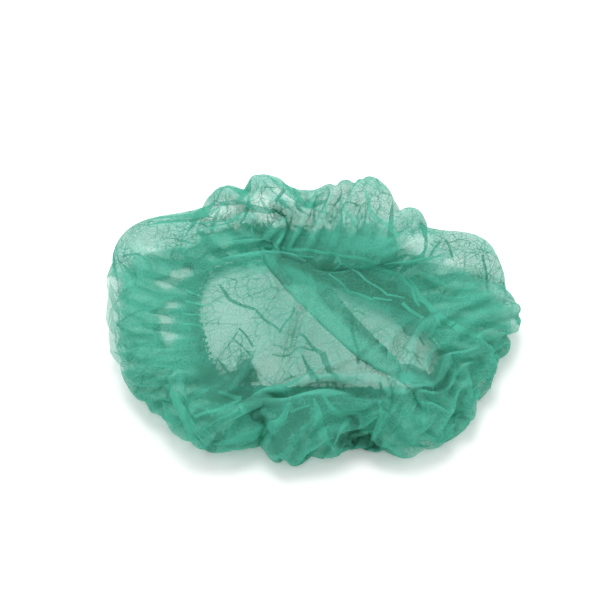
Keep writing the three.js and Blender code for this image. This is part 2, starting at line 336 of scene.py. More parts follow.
# %% [markdown]
# The real cap is cut as a flat disc of 530 mm, a common size for a 21 inch cap. A square grid bent
# to a disc has even cells and no pole, so it takes folds everywhere alike. Each flat place is then
# led to a station of the drawn-in shape. Near the middle the sheet keeps its length, and further
# out the spare length is pressed together, which is what makes the ruffles.

# %% Flat disc
# in mm: the disc, and the part round its middle that keeps its length
FLAT_RADIUS = 265.0
TAUT_RADIUS = 60.0
# cells across the first grid, then how finely the table of stations is made and searched
COARSE_CELLS = 150
DIRECTIONS = 360
STATION_STEPS = 181
RADIUS_STEPS = 133
SEARCH_STEP = 0.5


def flat_grid(cells):
    """Flat places in mm of a grid of cells x cells, bent to a disc of FLAT_RADIUS."""
    line = np.linspace(-1, 1, cells + 1)
    up, right = np.meshgrid(line, line, indexing="ij")
    wide = np.abs(right) > np.abs(up)
    longer = np.where(wide, right, up)
    shorter = np.where(wide, up, right)
    slant = math.pi / 4 * shorter / np.where(longer == 0, 1, longer)
    turn = np.where(wide, slant, math.pi / 2 - slant)
    return np.stack([longer * np.cos(turn), longer * np.sin(turn)], -1) * FLAT_RADIUS


def station_table():
    """For each direction, the station that each flat radius comes to."""
    degrees = np.arange(DIRECTIONS) * 360.0 / DIRECTIONS
    stations = np.linspace(0, HEM_STATION, STATION_STEPS)
    points = cap_point(degrees[:, None] + 0 * stations, 0 * degrees[:, None] + stations)
    steps = np.linalg.norm(np.diff(points, axis=1), axis=2)
    lengths = np.concatenate([np.zeros((DIRECTIONS, 1)), np.cumsum(steps, axis=1)], 1)
    radii = np.linspace(0, FLAT_RADIUS, RADIUS_STEPS)
    rows = []
    for length in lengths:
        wanted = np.interp(radii, [0, TAUT_RADIUS, FLAT_RADIUS], [0, TAUT_RADIUS, length[-1]])
        rows.append(np.interp(wanted, length, stations))
    print("line from crown to hem in mm:", lengths[:, -1].min().round(), lengths[:, -1].max().round())
    return np.array(rows)


STATION_OF = station_table()

# %% From flat places to the shape


def station_at(flat):
    """The direction and the station of flat places."""
    degrees = np.mod(np.degrees(np.arctan2(flat[..., 1], flat[..., 0])), 360)
    radius = np.clip(np.hypot(flat[..., 0], flat[..., 1]) / FLAT_RADIUS, 0, 1) * (RADIUS_STEPS - 1)
    row = degrees.astype(int) % DIRECTIONS
    next_row = (row + 1) % DIRECTIONS
    column = np.minimum(radius.astype(int), RADIUS_STEPS - 2)
    part = radius - column
    turn = degrees - np.floor(degrees)
    here = STATION_OF[row, column] * (1 - part) + STATION_OF[row, column + 1] * part
    there = STATION_OF[next_row, column] * (1 - part) + STATION_OF[next_row, column + 1] * part
    return degrees, here * (1 - turn) + there * turn


def shape_of(flat):
    """Where flat places come to on the drawn-in shape, without gathers."""
    return cap_point(*station_at(flat))


def flat_place(x, y):
    """The flat place of a spot on top of the cap, seen from above."""
    degrees = math.degrees(math.atan2(y - MIDDLE[1], x - MIDDLE[0])) % 360
    turn = math.radians(degrees)
    radii = np.linspace(0, FLAT_RADIUS, int(FLAT_RADIUS / SEARCH_STEP) + 1)
    points = shape_of(np.stack([radii * math.cos(turn), radii * math.sin(turn)], -1))
    away = np.hypot(points[:, 0] - MIDDLE[0], points[:, 1] - MIDDLE[1])
    upper = away[:int(np.argmax(away)) + 1]
    radius = np.interp(math.hypot(x - MIDDLE[0], y - MIDDLE[1]), upper, radii[:len(upper)])
    return np.array([radius * math.cos(turn), radius * math.sin(turn)])


print("flat place of the end of the first fold:", flat_place(*FOLDS[0][2:4]).round(1))

# %% [markdown]
# Where the sheet has spare length over the crown it lies in flat pleats, three layers thick. The
# widest is the band that crosses the crown. A solver finds such overlaps by chance only, so each
# pleat is made on the flat disc, by leading the strip between its two edges backwards: what lies
# beyond it is drawn in, and that pull fades out in the ruffles.

# %% Pleats
# from x, y, to x, y on the cap, width at the start and at the end, bow sideways, all in mm
PLEATS = [
    (-36, 40, 74, -80, 40, 18, -9),
    (-98, -60, -78, -98, 8, 10, 0),
    (-60, -98, -16, -78, 8, 8, -4),
    (36, -80, 40, -104, 8, 8, 0),
    (-60, 78, 84, 42, 8, 10, 6),
    (-10, 66, 110, 6, 6, 8, 6),
]
PLEAT_LIFT = 1.5
# beyond a pleat's edge in mm: how far the pull is full, where it has gone, how soon the lift fades
PULL_KEPT = 25.0
PULL_GONE = 130.0
LIFT_FADE = 10.0
# shares of a pleat's length where it opens and where it closes
PLEAT_OPENS = (-0.15, 0.1)
PLEAT_CLOSES = (0.85, 1.2)


def bowed(share, bow):
    """How far a bowed line stands off its chord, most at the middle."""
    return bow * 4 * share * (1 - share)


def pleated(flat):
    """Flat places with the pleats laid, and how far each point is lifted off the layer below."""
    moved = flat.copy()
    lift = np.zeros(flat.shape[:-1])
    for from_x, from_y, to_x, to_y, first_width, last_width, bow in PLEATS:
        start = flat_place(from_x, from_y)
        end = flat_place(to_x, to_y)
        length = float(np.hypot(*(end - start)))
        along = (end - start) / length
        across = np.array([-along[1], along[0]])
        share = (flat - start) @ along / length
        inside = np.clip(share, 0, 1)
        width = first_width + (last_width - first_width) * inside
        side = (flat - start) @ across - bowed(inside, bow)
        fade = smoothstep(share, *PLEAT_OPENS) * (1 - smoothstep(share, *PLEAT_CLOSES))
        beyond = np.abs(side) - width / 2
        turned = np.clip(2 * side / width, -1, 1) * fade
        pull = width * turned * (1 - smoothstep(beyond, PULL_KEPT, PULL_GONE))
        moved -= across * pull[..., None]
        lift += PLEAT_LIFT * turned * np.exp(-np.maximum(beyond, 0) / LIFT_FADE)
    radius = np.hypot(moved[..., 0], moved[..., 1])
    moved *= np.minimum(1, FLAT_RADIUS / np.maximum(radius, 1))[..., None]
    return moved, lift


print("pleats:", len(PLEATS))

# %% [markdown]
# The elastic draws the hem in to less than a third of its length, so the cloth near it stands in
# narrow gathers, which run together into wider ones towards the outline. Even waves would look
# machined. These are as steep as the spare length there asks, and their spacing wanders as it does
# in thin cloth.

# %% Gathers
# how many round the cap, how far their spacing wanders, harmonics of that, seed
GATHER_LAYERS = [
    (132, 1.5, 23, 5),
    (47, 3.6, 15, 7),
    (23, 2.5, 9, 9),
]
# share of the full height that the gathers start with, their steepest slope, and a small turn in
# radians that measures how wide the cap is at a place
GATHER_HEIGHT = 0.6
STEEPEST_GATHER = 5.5
TURN_STEP = 0.01
# shares of the flat radius where the three layers of gathers take over from one another
SIDE_GATHERS_GROW = (0.46, 0.66)
SIDE_GATHERS_FADE = (0.66, 0.84)
HEM_GATHERS_GROW = (0.82, 0.97)


def wander(turn, harmonics, seed):
    """A smooth uneven wave round the cap, the same each time for the same seed."""
    random = np.random.default_rng(seed)
    total = np.zeros_like(turn)
    for harmonic in range(1, harmonics + 1):
        strength = random.normal() / math.sqrt(harmonics)
        total += strength * np.cos(harmonic * turn + random.uniform(0, FULL_TURN))
    return total


def gather_wave(flat, station, degrees):
    """The height of the gathers across the sheet, in mm."""
    radius = np.hypot(flat[..., 0], flat[..., 1])
    turn = np.radians(degrees)
    here = cap_point(degrees, station)
    there = cap_point(degrees + math.degrees(TURN_STEP), station)
    width_per_turn = np.linalg.norm(there - here, axis=-1) / TURN_STEP
    spare = np.maximum(radius / np.maximum(width_per_turn, 1), 1)
    slope = np.minimum(np.sqrt(2 * (spare**2 - 1)), STEEPEST_GATHER)
    share = radius / FLAT_RADIUS
    near_hem = smoothstep(share, *HEM_GATHERS_GROW)
    above = 1 - smoothstep(share, *SIDE_GATHERS_FADE)
    on_side = above * smoothstep(share, *SIDE_GATHERS_GROW)
    between = np.clip(1 - near_hem - above, 0, 1)
    wave = np.zeros_like(turn)
    for layer, strength in zip(GATHER_LAYERS, (near_hem, between, on_side)):
        count, distance, harmonics, seed = layer
        height = slope * width_per_turn / count
        wave += strength * height * np.cos(count * turn + distance * wander(turn, harmonics, seed))
    return wave


print("layers of gathers:", len(GATHER_LAYERS))

# %% [markdown]
# Between the gathers the ruffles swell out and sink in, each in its own way. A table of short lines
# gives them from the photograph. The hem itself ripples too, more so on the left, where the
# photograph shows a row of small frills.

# %% Swells and the hem's ripple
# from x, y, to x, y, half width and how far out, all in mm
SWELLS = [
    (-100, -60, -76, -104, 6, 7),
    (-62, -104, -18, -86, 6, 7),
    (10, -82, 13, -108, 8, 8),
    (-84, -70, -60, -84, 9, -6),
    (-10, -84, -4, -104, 7, -7),
    (30, -82, 36, -108, 10, -8),
    (58, -84, 66, -112, 6, 5),
    (84, -70, 104, -92, 8, -6),
    (-30, 60, 74, 6, 14, -12),
    (-74, -58, -34, -66, 13, -9),
    (-50, -44, -40, -46, 6, 6),
    (-44, 84, 88, 40, 8, 5),
    (40, 96, 52, 112, 7, 6),
    (-10, 92, -4, 112, 7, -6),
    (118, 24, 136, 30, 8, 6),
    (112, -8, 138, 2, 7, -6),
    (-132, 20, -112, 12, 6, -5),
    (-136, -10, -112, -12, 6, 5),
    (-130, -34, -106, -28, 6, -5),
]


def side_swell(x, y):
    """How far the swells move the sheet square to itself, in mm."""
    total = np.zeros_like(x)
    for *line, half_width, rise in SWELLS:
        total += bump_along(x, y, line, half_width, rise)
    return total


# waves round the hem, how far their spacing wanders, harmonics of that, seed
RIM_WAVES = 96
RIM_WANDER = 2.0
RIM_HARMONICS = 15
RIM_SEED = 11
# how far the hem ripples, and how much more of it on the left, in mm, with its directions
RIM_RIPPLE = 0.9
LEFT_RIPPLE = 2.8
LEFT_BEGINS = (150, 170)
LEFT_ENDS = (188, 208)
# the ripple is uneven round the cap, and rises by a share of its swing
RIM_UNEVEN = 0.4
RIM_UNEVEN_WAVES = 7
RIM_RISE = 0.5


def rim_ripple(degrees):
    """How far the hem's points swing in and out and up, in mm."""
    turn = np.radians(degrees)
    phase = RIM_WAVES * turn + RIM_WANDER * wander(turn, RIM_HARMONICS, RIM_SEED)
    left = smoothstep(degrees, *LEFT_BEGINS) * (1 - smoothstep(degrees, *LEFT_ENDS))
    uneven = 1 - RIM_UNEVEN + RIM_UNEVEN * np.cos(RIM_UNEVEN_WAVES * turn)
    swing = (RIM_RIPPLE + LEFT_RIPPLE * left) * uneven * np.cos(phase)
    return np.stack([swing * np.cos(turn), swing * np.sin(turn), RIM_RISE * np.abs(swing)], -1)


print("swells and hollows:", len(SWELLS))

# %% The sheet before it settles
# the lowest height in mm of the sheet's middle plane
FLOOR_GAP = 0.6
# stations where the top of the cap ends, and where its underside begins
TOP_ENDS = (5.6, 6.6)
UNDER_BEGINS = (5.4, 7.0)
# keeps a length from being divided by nothing
SMALLEST = 1e-9


def unit_vectors(vectors):
    return vectors / np.maximum(np.linalg.norm(vectors, axis=-1, keepdims=True), SMALLEST)


def start_shape(cells):
    """The sheet on a grid before it settles: start, target, flat places and the hem's points."""
    flat = flat_grid(cells)
    moved, lift = pleated(flat)
    hem = np.zeros(flat.shape[:-1], bool)
    hem[0] = hem[-1] = True
    hem[:, 0] = hem[:, -1] = True
    moved[hem] = flat[hem]
    degrees, station = station_at(moved)
    target = cap_point(degrees, station)
    a_step_right = shape_of(moved + [1, 0]) - target
    a_step_up = shape_of(moved + [0, 1]) - target
    across = unit_vectors(np.cross(a_step_right, a_step_up))
    on_top = 1 - smoothstep(station, *TOP_ENDS)
    target += across * (side_swell(target[..., 0], target[..., 1]) * on_top)[..., None]
    wave = gather_wave(moved, station, degrees)
    under = smoothstep(station, *UNDER_BEGINS)
    target[hem] += rim_ripple(degrees[hem])
    start = target + across * (wave * (1 - under) * GATHER_HEIGHT)[..., None]
    start[..., 2] += under * np.abs(wave) + lift
    start[..., 2] = np.maximum(start[..., 2], FLOOR_GAP)
    return start, target, flat, hem


print("points of the coarse grid:", (COARSE_CELLS + 1) ** 2)

# %% [markdown]
# A cloth solver in a few lines turns this sketch into cloth. Every edge of the grid remembers the
# length that it has in the flat disc. Again and again each edge pulls or pushes its two ends
# towards that length, and soft struts over two and four cells keep the folds round. The hem stays
# where the elastic holds it, the floor stops what sinks, and a gentle pull on the averaged surface
# keeps the cap's outline. Blender's own cloth would be the usual way, but it takes its resting
# lengths from the shape that it starts in. The whole run is the same each time, because every
# random draw has a seed.

# %% Edges of the grid
# how many cells an edge or a strut spans, and what it resists
SPANS = [(1, "stretch"), (2, "bend"), (4, "bend")]


def averaged(field, cells):
    """The field blurred over a square of 2 x cells + 1, twice."""
    for axis in (0, 1, 0, 1):
        size = field.shape[axis]
        margin = [(0, 0)] * field.ndim
        margin[axis] = (cells + 1, cells)
        sums = np.cumsum(np.pad(field, margin, mode="edge"), axis=axis)
        window = 2 * cells + 1
        field = (np.take(sums, range(window, window + size), axis)
                 - np.take(sums, range(size), axis)) / window
    return field


def edge_families(size):
    """Pairs of slices that name the two ends of many separate edges at once."""
    everything = slice(None)
    families = []
    for reach, kind in SPANS:
        for first in range(2 * reach):
            count = len(range(first, size - reach, 2 * reach))
            length = 2 * reach * (count - 1) + 1
            near = slice(first, first + length, 2 * reach)
            far = slice(first + reach, first + reach + length, 2 * reach)
            families.append((kind, reach, (near, everything), (far, everything)))
            families.append((kind, reach, (everything, near), (everything, far)))
            if reach == 1:
                families.append(("shear", 1, (near, slice(0, -1)), (far, slice(1, None))))
                families.append(("shear", 1, (near, slice(1, None)), (far, slice(0, -1))))
    return families


print("families of edges:", len(edge_families(COARSE_CELLS + 1)))

# %% Crumpled places
# x, y, radius in mm, and how many times rougher the sheet starts there
CRUMPLES = [
    (-52, -66, 26, 10),
    (-76, -54, 20, 9),
    (-44, -46, 10, 10),
    (34, 44, 24, 4),
    (96, -30, 22, 3),
]
# shares of the radius where a crumple begins to fade and has faded, and its lowest height in mm
CRUMPLE_FADE = (0.5, 1.2)
CRUMPLE_LOWEST = 20


def crumpled(places):
    """How many times rougher than elsewhere the sheet starts at these places."""
    total = np.zeros(places.shape[:-1])
    for x, y, radius, times in CRUMPLES:
        away = np.hypot(places[..., 0] - x, places[..., 1] - y)
        near = 1 - smoothstep(away, CRUMPLE_FADE[0] * radius, CRUMPLE_FADE[1] * radius)
        total += times * near * (places[..., 2] > CRUMPLE_LOWEST)
    return total


print("crumpled places:", len(CRUMPLES))

# %% Cloth solver
# share of its error that an edge mends in a round, when too long and when too short
STRETCH_PULL = 1.0
STRETCH_PUSH = 0.8
SHEAR_PULL = 0.35
# share of its last motion that a point keeps
MEMORY = 0.8
# how strongly the averaged surface is led to the drawn-in shape, in which rounds, averaged how wide
SHAPE_PULL = 0.10
SHAPE_EVERY = 4
SHAPE_SPREAD_MM = 14.0


def strengths(kind, reach, bending):
    """How strongly an edge pulls when it is too long, and pushes when it is too short."""
    if kind == "stretch":
        return STRETCH_PULL, STRETCH_PUSH
    if kind == "shear":
        return SHEAR_PULL, SHEAR_PULL
    return 0.0, bending / reach * 2


def settle(points, target, flat, hem, rounds, bending, roughness, seed):
    """The sheet after the given rounds of pulling every edge to its flat length."""
    points = points.astype(np.float32)
    free = np.where(hem, 0, 1).astype(np.float32)[..., None]
    random = np.random.default_rng(seed)
    jolt = roughness * (1 + crumpled(target))[..., None].astype(np.float32)
    points += free * random.normal(size=points.shape).astype(np.float32) * jolt
    families = []
    for kind, reach, near, far in edge_families(points.shape[0]):
        length = np.linalg.norm(flat[near] - flat[far], axis=-1)[..., None].astype(np.float32)
        total = np.maximum(free[near] + free[far], 1)
        pull, push = strengths(kind, reach, bending)
        families.append((near, far, length, free[near] / total, free[far] / total, pull, push))
    cell = 2 * FLAT_RADIUS / (points.shape[0] - 1)
    spread = max(2, round(SHAPE_SPREAD_MM / cell))
    wanted = averaged(target.astype(np.float32), spread)
    motion = np.zeros_like(points)
    for count in range(rounds):
        before = points.copy()
        points += motion * MEMORY
        for near, far, length, near_share, far_share, pull, push in families:
            gap = points[far] - points[near]
            now = np.sqrt(np.einsum("...i,...i", gap, gap))[..., None] + SMALLEST
            off = (now - length) / now
            gap *= off * np.where(off > 0, pull, push)
            points[near] += gap * near_share
            points[far] -= gap * far_share
        if count % SHAPE_EVERY == 0:
            points += free * SHAPE_PULL * (wanted - averaged(points, spread))
        points[..., 2] = np.maximum(points[..., 2], FLOOR_GAP)
        motion = points - before
    return points


def finer(points):
    """The same sheet on a grid with twice the cells."""
    size = 2 * points.shape[0] - 1
    fine = np.zeros((size, size, 3))
    fine[::2, ::2] = points
    fine[1::2, ::2] = (points[:-1] + points[1:]) / 2
    fine[:, 1::2] = (fine[:, :-2:2] + fine[:, 2::2]) / 2
    return fine


print("cell of the coarse grid in mm:", round(2 * FLAT_RADIUS / COARSE_CELLS, 2))

# %% [markdown]
# The sheet settles twice, first on a coarse grid, which finds its large folds fast, and then on one
# with cells half as wide, which adds the small ones. Where the end of a pleat would pinch the sheet
# to a knot, it is smoothed afterwards.

# %% Settle the sheet
# roughness is how far in mm each point is jolted at the start
COARSE_RUN = {"rounds": 200, "bending": 0.04, "roughness": 0.3, "seed": 3}
FINE_RUN = {"rounds": 80, "bending": 0.05, "roughness": 0.15, "seed": 4}
# x, y and radius in mm of the pinched places, their lowest height, and how wide they are averaged
EASED = [
    (56, -72, 12),
    (70, -70, 11),
]
EASED_LOWEST = 25
EASED_CELLS = 4


def settled_sheet():
    start, target, flat, hem = start_shape(COARSE_CELLS)
    rough = settle(start, target, flat, hem, **COARSE_RUN)
    start, target, flat, hem = start_shape(2 * COARSE_CELLS)
    fine = finer(rough)
    fine[hem] = start[hem]
    return settle(fine, target, flat, hem, **FINE_RUN), flat


def eased(points):
    """The sheet with its pinched places smoothed."""
    smooth = averaged(points, EASED_CELLS)
    for x, y, radius in EASED:
        away = np.hypot(points[..., 0] - x, points[..., 1] - y)
        weight = np.exp(-(away / radius) ** 2) * (points[..., 2] > EASED_LOWEST)
        points = points + (smooth - points) * weight[..., None]
    return points


sheet, sheet_flat = settled_sheet()
sheet = eased(sheet)
for axis in (0, 1):
    now = np.linalg.norm(np.diff(sheet, axis=axis), axis=-1)
    cut = np.linalg.norm(np.diff(sheet_flat, axis=axis), axis=-1)
    print("edge length against flat, low, middle, high:", np.percentile(now / cut, [2, 50, 98]).round(2))
print("sheet from", sheet.min(axis=(0, 1)).round(1), "to", sheet.max(axis=(0, 1)).round(1),
      "in", round(time.time() - start_time, 1), "s")

# %% [markdown]
# The settled grid becomes the cover's mesh. Each point keeps its flat place as its UV, in metres,
# so that the cloth's own texture follows every fold. It also keeps how sharply it is bent there,
# because a crease in nonwoven looks denser than the flat cloth beside it. Later a ridge is painted
# lighter than a hollow, as painted light and shade.

# %% Creases and ridges
# the bend, as one less the cosine of its angle, and the height in mm that count as full
CREASE_FULL = 0.6
RIDGE_FULL = 0.35


def grid_faces(rows, columns):
    """The four-sided faces of a grid of points, numbered row by row."""
    index = np.arange(rows * columns).reshape(rows, columns)
    faces = np.stack([index[:-1, :-1], index[:-1, 1:], index[1:, 1:], index[1:, :-1]], -1)
    return faces.reshape(-1, 4)


def grid_normals(points):
    """The direction square to the sheet at each point of the grid."""
    across = np.gradient(points, axis=1)
    up = np.gradient(points, axis=0)
    return unit_vectors(np.cross(across, up))


def crease_values(points):
    """How sharply the sheet is bent at each point of the grid, from 0 to 1."""
    bend = np.zeros(points.shape[:2])
    for axis in (0, 1):
        ahead = unit_vectors(np.diff(points, axis=axis))
        first = np.take(ahead, range(ahead.shape[axis] - 1), axis)
        second = np.take(ahead, range(1, ahead.shape[axis]), axis)
        inner = [slice(None), slice(None)]
        inner[axis] = slice(1, -1)
        turn = 1 - np.einsum("...i,...i", first, second)
        bend[tuple(inner)] = np.maximum(bend[tuple(inner)], turn)
    return np.clip(bend / CREASE_FULL, 0, 1)


def ridge_values(points):
    """Above 0 where the sheet stands up in a ridge, below 0 where it sinks, from -1 to 1."""
    wide = np.pad(points, ((1, 1), (1, 1), (0, 0)), mode="edge")
    around = (wide[:-2, 1:-1] + wide[2:, 1:-1] + wide[1:-1, :-2] + wide[1:-1, 2:]) / 4
    height = np.einsum("...i,...i", points - around, grid_normals(points))
    return np.clip(averaged(height, 1) / RIDGE_FULL, -1, 1)


cover_points = sheet.reshape(-1, 3)
cover_flat = sheet_flat.reshape(-1, 2)
cover_faces = grid_faces(*sheet.shape[:2])
cover_values = {"crease": crease_values(sheet).ravel()}
print("points of the sheet:", len(cover_points))

# %% A mesh from points


def make_mesh_object(name, points, faces, flat, values):
    """An object from points in mm, with their flat places as UV and one attribute for each value."""
    mesh = bpy.data.meshes.new(name)
    mesh.from_pydata((points * MM).tolist(), [], faces.tolist())
    loops = np.zeros(len(mesh.loops), np.int32)
    mesh.loops.foreach_get("vertex_index", loops)
    uv = mesh.uv_layers.new(name="flat_place")
    uv.data.foreach_set("uv", (flat[loops] * MM).astype(np.float32).ravel())
    for kind, numbers in values.items():
        attribute = mesh.attributes.new(kind, "FLOAT", "POINT")
        attribute.data.foreach_set("value", numbers.astype(np.float32))
    mesh.polygons.foreach_set("use_smooth", np.ones(len(mesh.polygons), bool))
    mesh.update()
    made = bpy.data.objects.new(name, mesh)
    scene.collection.objects.link(made)
    return made


print("values at each point so far:", list(cover_values))

# %% [markdown]
# A web of loose fibres isn't even: it is thin where it was drawn out, and close where it was
# pressed together. The same table also paints light into the green at some places and shade at
# others. An even noise can't say where, so a table gives such places as the photograph shows them.
# It holds them in a level plane at the height of the ruffles, and each point of the sheet is first
# led to that plane along a fixed line, the photograph's line of sight.

# %% Thin and dense places
SIGHT_HEIGHT = 44.0
SIGHT = Vector((0, math.cos(CAMERA_ELEVATION), -math.sin(CAMERA_ELEVATION)))
# from x, y, to x, y, half width, all in mm, then the change of closeness and the change of painted
# light, below 0 for painted shade
SHADES = [
    (-109, 18, -92, 30, 5.4, -0.6, 0.3),
    (-111, -9, -102, -2, 3.6, -0.55, 0.3),
    (-107, -15, -105, -35, 5.4, -0.55, 0.3),
    (-146, 19, -146, -38, 5.7, -0.55, 0.2),
    (-142, -43, -135, -57, 4.3, -0.5, 0.2),
    (-121, 48, -98, 41, 3.6, -0.3, 0.3),
    (-72, 83, -62, 91, 5.7, -0.3, 0.2),
    (-39, 96, -33, 74, 5.7, -0.35, 0.2),
    (-26, 105, -16, 98, 4.3, -0.3, 0.2),
    (69, 48, 79, 57, 7.2, -0.3, 0.2),
    (95, 32, 102, 37, 5.7, -0.3, 0.2),
    (142, -17, 146, -25, 3.6, -0.3, 0.2),
    (115, -74, 124, -63, 4.3, -0.35, 0.3),
    (67, -130, 79, -128, 5.0, -0.35, 0.3),
    (-75, -65, -48, -65, 10.1, 0.35, -0.6),
    (-49, -50, -46, -61, 6.5, 0.4, -0.6),
    (-71, -80, -28, -87, 6.5, 0.6, -0.75),
    (-80, -96, -71, -103, 4.3, 0.3, -0.7),
    (-44, -93, -37, -104, 5.0, 0.3, -0.7),
    (-21, 40, 11, 29, 5.7, 0.4, -0.8),
    (11, 28, 51, 12, 10.1, 0.4, -1),
    (51, 10, 75, -7, 6.5, 0.3, -0.8),
    (22, 25, 32, 18, 6.5, 0.3, -0.8),
    (-36, 57, 11, 52, 5.0, 0.2, -0.25),
    (-27, -125, -9, -97, 8.6, 0.2, -0.4),
    (19, -121, 42, -123, 6.5, 0.3, -1),
    (26, -101, 29, -116, 3.6, 0.3, -0.8),
    (58, -88, 72, -121, 6.5, 0.1, -0.3),
    (-73, -132, -66, -117, 3.6, 0.2, -0.6),
    (83, -43, 89, -74, 7.2, 0.2, -0.5),
    (65, -66, 80, -74, 5.7, 0.8, 0),
    (-33, -76, -10, -78, 2.2, 0.7, -0.2),
    (-10, -78, 60, -77, 2.9, 0.8, 0),
    (-50, -11, 37, -47, 44.5, 0.02, -0.22),
    (-17, -69, 53, -69, 5.0, 0.2, -0.1),
    (-89, -111, 83, -111, 21.5, 0.01, 0.4),
    (-118, 16, -105, -43, 21.5, 0.01, 0.25),
    (105, -6, 99, -75, 20.1, 0.01, 0.25),
    (-23, 61, 11, 57, 7.2, 0.5, 0.1),
    (11, 58, 52, 51, 7.9, 0.5, 0.1),
    (22, 98, 51, 89, 12.9, -0.1, -0.3),
    (101, 57, 123, 35, 12.9, -0.08, -0.3),
    (-135, 70, -107, 57, 10.8, 0.01, -0.3),
    (112, 5, 142, -14, 8.6, 0.3, 0.1),
    (-10, 10, 22, -29, 7.9, -0.12, 0.5),
    (22, -29, 63, -65, 7.2, -0.12, 0.45),
    (-71, 65, -37, 37, 8.6, 0, 0.35),
]
print("thin and dense places:", len(SHADES))

# %% Closeness and painted light
# shares of the half width where a place begins to fade and has faded, and how far its edge sways
SHADE_FADE = (0.7, 1.3)
EDGE_SWAY = 0.3
# how far in mm the edge's long and short waves reach along x and y, how much the long one bends,
# and the share of the short one
LONG_WAVE = (3.1, 4.7)
SHORT_WAVE = (5.0, 2.3)
LONG_WAVE_BEND = 2
SHORT_WAVE_SHARE = 0.4
# how much painted light a ridge gets and painted shade a hollow gets, and the range of painted light and
# shade that is kept
RIDGE_PAINTED_LIGHT = 0.5
PAINTED_LIGHT_LIMITS = (-1.5, 1)


def in_sight_plane(points):
    """Where the line of sight through each point meets the level plane."""
    slope = SIGHT[1] / SIGHT[2]
    return points[:, 0], points[:, 1] + (SIGHT_HEIGHT - points[:, 2]) * slope


def edge_waves(x, y):
    """Uneven waves a few millimetres long, so that no place has a ruled edge."""
    long = np.sin(x / LONG_WAVE[0] + LONG_WAVE_BEND * np.sin(y / LONG_WAVE[1]))
    short = np.sin(y / SHORT_WAVE[1] + x / SHORT_WAVE[0])
    return (1 - SHORT_WAVE_SHARE) * long + SHORT_WAVE_SHARE * short


def stronger(value, other):
    """The one of two values that is further from 0."""
    return np.where(np.abs(value) < np.abs(other), other, value)


def shade_values(points):
    """The change of closeness and of painted light and shade at each point."""
    x, y = in_sight_plane(points)
    sway = EDGE_SWAY * edge_waves(x, y)
    closeness = np.zeros(len(points))
    painted_light = np.zeros(len(points))
    for *line, half_width, more_closeness, more_painted_light in SHADES:
        away = away_from_line(x, y, *line) / half_width
        weight = 1 - smoothstep(away + sway, *SHADE_FADE)
        closeness = stronger(closeness, more_closeness * weight)
        painted_light = stronger(painted_light, more_painted_light * weight)
    return closeness, painted_light


# the second value is painted light and shade, carried into the green of the cloth
cover_closeness, cover_painted_light = shade_values(cover_points)
# painted light on ridges and painted shade in hollows, added to the painted light of the table
cover_painted_light = cover_painted_light + RIDGE_PAINTED_LIGHT * ridge_values(sheet).ravel()
cover_values["closeness"] = cover_closeness
cover_values["painted_light"] = np.clip(cover_painted_light, *PAINTED_LIGHT_LIMITS)
print("closeness from", cover_closeness.min().round(2), "to", cover_closeness.max().round(2))

# %% [markdown]
# Folds too narrow for the grid are laid on as strips of the same cloth, since a grid fine enough
# for them would be many times heavier. A tuck is two more layers right under the sheet, found by
# looking straight down, and it darkens a line of the pale field, both by its layers and by painted
# shade in its green. A fold strip stands on the sheet as a low arch, found along the same fixed
# line of sight, and its green is painted lighter, a painted highlight. A row gives its line and
# its width at both ends.

# %% Lines of the tucks
# from x, y, to x, y, width at the start and at the end, all in mm, seen from above
TUCKS = [
    (-68, 12, -58, -2, 2.0, 3.0),
    (-58, -2, -42, -10, 3.0, 2.2),
    (-42, -10, -24, -31, 2.2, 1.6),
    (-14, -9, -24, -31, 1.0, 1.2),
    (-53, -26, -42, -42, 1.4, 1.6),
    (-12, -32, 5, -47, 1.6, 3.6),
    (5, -47, 11, -63, 5.0, 4.0),
    (11, -63, 19, -80, 3.2, 5.0),
    (-30, -47, 2, -44, 1.0, 1.6),
    (-8, -50, -3, -64, 1.2, 4.0),
    (-3, -64, 2, -80, 4.0, 7.0),
    (56, -17, 66, -28, 1.8, 3.0),
    (66, -28, 78, -37, 3.0, 1.8),
    (25, -17, 31, -56, 2.0, 2.4),
    (46, -72, 47, -79, 2.0, 2.2),
    (-32, 71, -21, 89, 2.0, 3.0),
    (-37, 57, -28, 75, 1.6, 2.0),
    (83, 34, 90, 48, 1.6, 2.0),
    (95, 50, 99, 34, 1.6, 2.0),
    (122, 42, 125, 8, 2.0, 1.6),
    (-140, 42, -118, 30, 1.8, 1.4),
    (-142, 8, -118, 10, 1.8, 1.4),
    (-140, -16, -118, -10, 1.8, 1.4),
    (57, -64, 86, -74, 10.0, 16.0),
    (-76, -68, -44, -68, 19.0, 21.0),
    (-50, -52, -46, -66, 9.0, 15.0),
]
print("tucks:", len(TUCKS))

